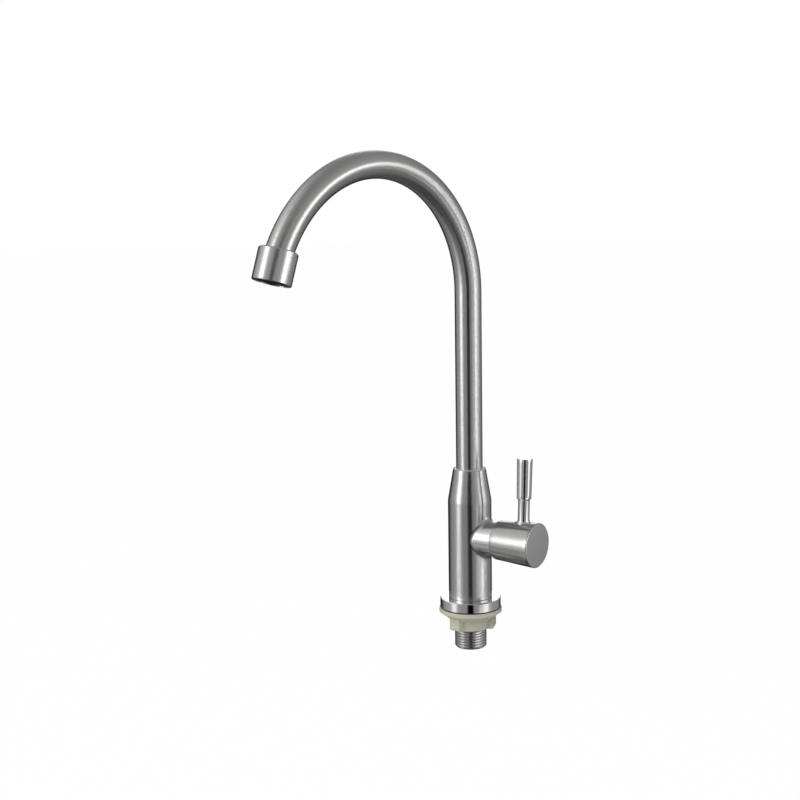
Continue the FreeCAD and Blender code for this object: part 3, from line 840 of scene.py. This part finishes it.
@dataclass
class Studio:
    """Camera, surrounding light, lamp, floor and dark card."""

    FILL: ClassVar = (
        (0.0, 0.06), (0.04, 0.06), (0.09, 0.19), (0.25, 0.24), (0.45, 0.29), (0.60, 0.37), (0.75, 0.37),
        (0.92, 0.29), (1.0, 0.26))
    BOXES: ClassVar = (
        Softbox(bearing=-65, height=13, width=12.5, tall=18, level=3.05),
        Softbox(bearing=-70, height=-42, width=18, tall=14, level=0.34),
        Softbox(bearing=-78, height=15, width=36, tall=45, level=0.24),
        Softbox(bearing=-118, height=48, width=34, tall=19, level=0.46),
        Softbox(bearing=-85, height=36, width=25, tall=9, level=0.22),
        Softbox(bearing=-55, height=56, width=25, tall=14, level=0.46),
        Softbox(bearing=65, height=0, width=11, tall=12, level=2.9),
        Softbox(bearing=44, height=-23, width=14, tall=6, level=1.5, edge=4),
        Softbox(bearing=86, height=6, width=13, tall=9, level=1.7),
        Softbox(bearing=72, height=8, width=32, tall=40, level=0.12),
        Softbox(bearing=-68, height=-17.5, width=12, tall=2.5, level=0.4, edge=4),
        Softbox(bearing=58, height=-17.5, width=10, tall=3, level=0.3, edge=4))
    GAPS: ClassVar = (
        Softbox(bearing=-2, height=-3, width=13, tall=34, level=1.0, edge=6),
        Softbox(bearing=-2, height=-60, width=13, tall=24, level=0.4, edge=6),
        Softbox(bearing=-176, height=-10, width=48, tall=28, level=0.93, edge=6),
        Softbox(bearing=172, height=-48, width=32, tall=16, level=0.3, edge=4),
        Softbox(bearing=-162, height=40, width=20, tall=10, level=0.6, edge=5))
    BACK_BOX: ClassVar = Softbox(bearing=177, height=11, width=7, tall=11, level=1.5, edge=4)
    WHITE: ClassVar = (1.0, 1.0, 1.0, 1.0)

    azimuth: float = 35.295
    elevation: float = 9.981
    roll: float = -0.848
    eye: Place = (0.65188, -0.99753, 0.34815)
    nudge_right: float = -0.00050
    nudge_up: float = 0.00020
    lens: float = 83.61
    sensor: float = 36.0
    floor_height: float = -0.0280
    floor_radius: float = 3.0
    floor_share: float = 0.985
    floor_grey: float = 0.9
    card_place: tuple[float, float] = (-0.020, 0.048)
    card_radius: float = 0.042
    card_drop: float = 0.0005
    card_level: float = 0.02
    disc_sides: int = 64
    lamp_place: Place = (0.4, -1.6, 1.6)
    lamp_size: float = 1.6
    lamp_power: float = 22.0

    def build(self) -> None:
        """Sets the whole studio up."""
        self._camera()
        self._world()
        self._lamp()
        self._floor()
        self._card()
        bpy.context.scene.view_settings.view_transform = "Standard"

    def _camera(self) -> None:
        """Camera at the photograph's place."""
        turn, lift, roll = (math.radians(a) for a in (self.azimuth, self.elevation, self.roll))
        back = Vector((math.sin(turn) * math.cos(lift), -math.cos(turn) * math.cos(lift), math.sin(lift)))
        level = Vector((math.cos(turn), math.sin(turn), 0.0))
        upright = back.cross(level)
        right = math.cos(roll) * level + math.sin(roll) * upright
        up = math.cos(roll) * upright - math.sin(roll) * level
        eye = Vector(self.eye) + self.nudge_right * right + self.nudge_up * up
        data = bpy.data.cameras.new("camera")
        data.sensor_width = self.sensor
        data.lens = self.lens
        camera = bpy.data.objects.new("camera", data)
        camera.matrix_world = Matrix((
            (right.x, up.x, back.x, eye.x), (right.y, up.y, back.y, eye.y),
            (right.z, up.z, back.z, eye.z), (0, 0, 0, 1)))
        bpy.context.scene.collection.objects.link(camera)
        bpy.context.scene.camera = camera

    def _world(self) -> None:
        """Surrounding light: a fill by height, soft boxes, dark gaps, and a box behind the faucet."""
        world = bpy.data.worlds.new("studio")
        sketch = self._blank(world)
        way = sketch.add("ShaderNodeTexCoord", output="Generated")
        lift = sketch.add("ShaderNodeSeparateXYZ", None, {0: way}, "Z")
        glow = sketch.add("ShaderNodeValToRGB", {"stops": self.FILL}, {"Fac": (lift + 1) / 2})
        for box in self.BOXES:
            glow = glow + box.glow(sketch, way, lift, self.azimuth)
        for gap in self.GAPS:
            glow = glow * (1 - gap.glow(sketch, way, lift, self.azimuth))
        glow = glow + self.BACK_BOX.glow(sketch, way, lift, self.azimuth)
        seen = sketch.add("ShaderNodeLightPath", output="Is Camera Ray")
        level = glow + seen * (1 - glow)
        shade = sketch.add("ShaderNodeBackground", None, {"Color": self.WHITE, "Strength": level})
        sketch.add("ShaderNodeOutputWorld", None, {"Surface": shade})
        bpy.context.scene.world = world

    def _lamp(self) -> None:
        """Broad lamp over the camera for the matt surfaces, which doesn't show in the metal."""
        data = bpy.data.lights.new("broad lamp", "AREA")
        data.shape = "DISK"
        data.size = self.lamp_size
        data.energy = self.lamp_power
        lamp = bpy.data.objects.new("broad lamp", data)
        lamp.location = self.lamp_place
        lamp.rotation_euler = (-Vector(self.lamp_place)).to_track_quat("-Z", "Y").to_euler()
        lamp.visible_glossy = False
        bpy.context.scene.collection.objects.link(lamp)

    def _floor(self) -> None:
        """Pale floor that keeps a faint shadow."""
        material = bpy.data.materials.new("pale floor")
        sketch = self._blank(material)
        matt = sketch.add("ShaderNodeBsdfDiffuse", None, {"Color": (*[self.floor_grey] * 3, 1.0)})
        white = sketch.add("ShaderNodeEmission", None, {"Color": self.WHITE, "Strength": 1.0})
        seen = sketch.add("ShaderNodeLightPath", output="Is Camera Ray")
        mixed = sketch.add("ShaderNodeMixShader", None, {0: seen * self.floor_share, 1: matt, 2: white})
        sketch.add("ShaderNodeOutputMaterial", None, {"Surface": mixed})
        floor = self._disc("floor", self.floor_radius, (0.0, 0.0, self.floor_height), material)
        floor.visible_glossy = False

    def _card(self) -> None:
        """Dark round card behind the foot, which shows only as a reflection in the metal."""
        material = bpy.data.materials.new("dark card")
        sketch = self._blank(material)
        grey = sketch.add("ShaderNodeEmission", None, {"Color": self.WHITE, "Strength": self.card_level})
        sketch.add("ShaderNodeOutputMaterial", None, {"Surface": grey})
        place = (*self.card_place, self.floor_height - self.card_drop)
        card = self._disc("dark card", self.card_radius, place, material)
        card.visible_camera = False
        card.visible_diffuse = False
        card.visible_shadow = False

    @staticmethod
    def _blank(owner: Union[bpy.types.World, bpy.types.Material]) -> Sketch:
        """Empties the node tree of a world or a material, and returns a sketch of it."""
        owner.use_nodes = True
        owner.node_tree.nodes.clear()
        return Sketch(owner.node_tree)

    def _disc(self, name: str, radius: float, place: Place,
              material: bpy.types.Material) -> bpy.types.Object:
        """Makes a level disc of the studio.

        Args:
            name: The disc's name.
            radius: Its radius.
            place: Its centre.
            material: Its material.

        Returns:
            The disc, which lies in the scene.
        """
        work = bmesh.new()
        bmesh.ops.create_circle(work, cap_ends=True, radius=radius, segments=self.disc_sides)
        mesh = bpy.data.meshes.new(name)
        work.to_mesh(mesh)
        work.free()
        mesh.transform(Matrix.Translation(place))
        mesh.materials.append(material)
        disc = bpy.data.objects.new(name, mesh)
        bpy.context.scene.collection.objects.link(disc)
        return disc


def main() -> None:
    """Builds the faucet group by group, then the studio."""
    logging.basicConfig(level=logging.INFO)
    shop = Workshop(Finishes())
    for group in (BaseGroup(shop), NutGroup(shop), SpoutGroup(shop), HandleGroup(shop)):
        group.build()
    Studio().build()


if __name__ == "__main__":
    main()
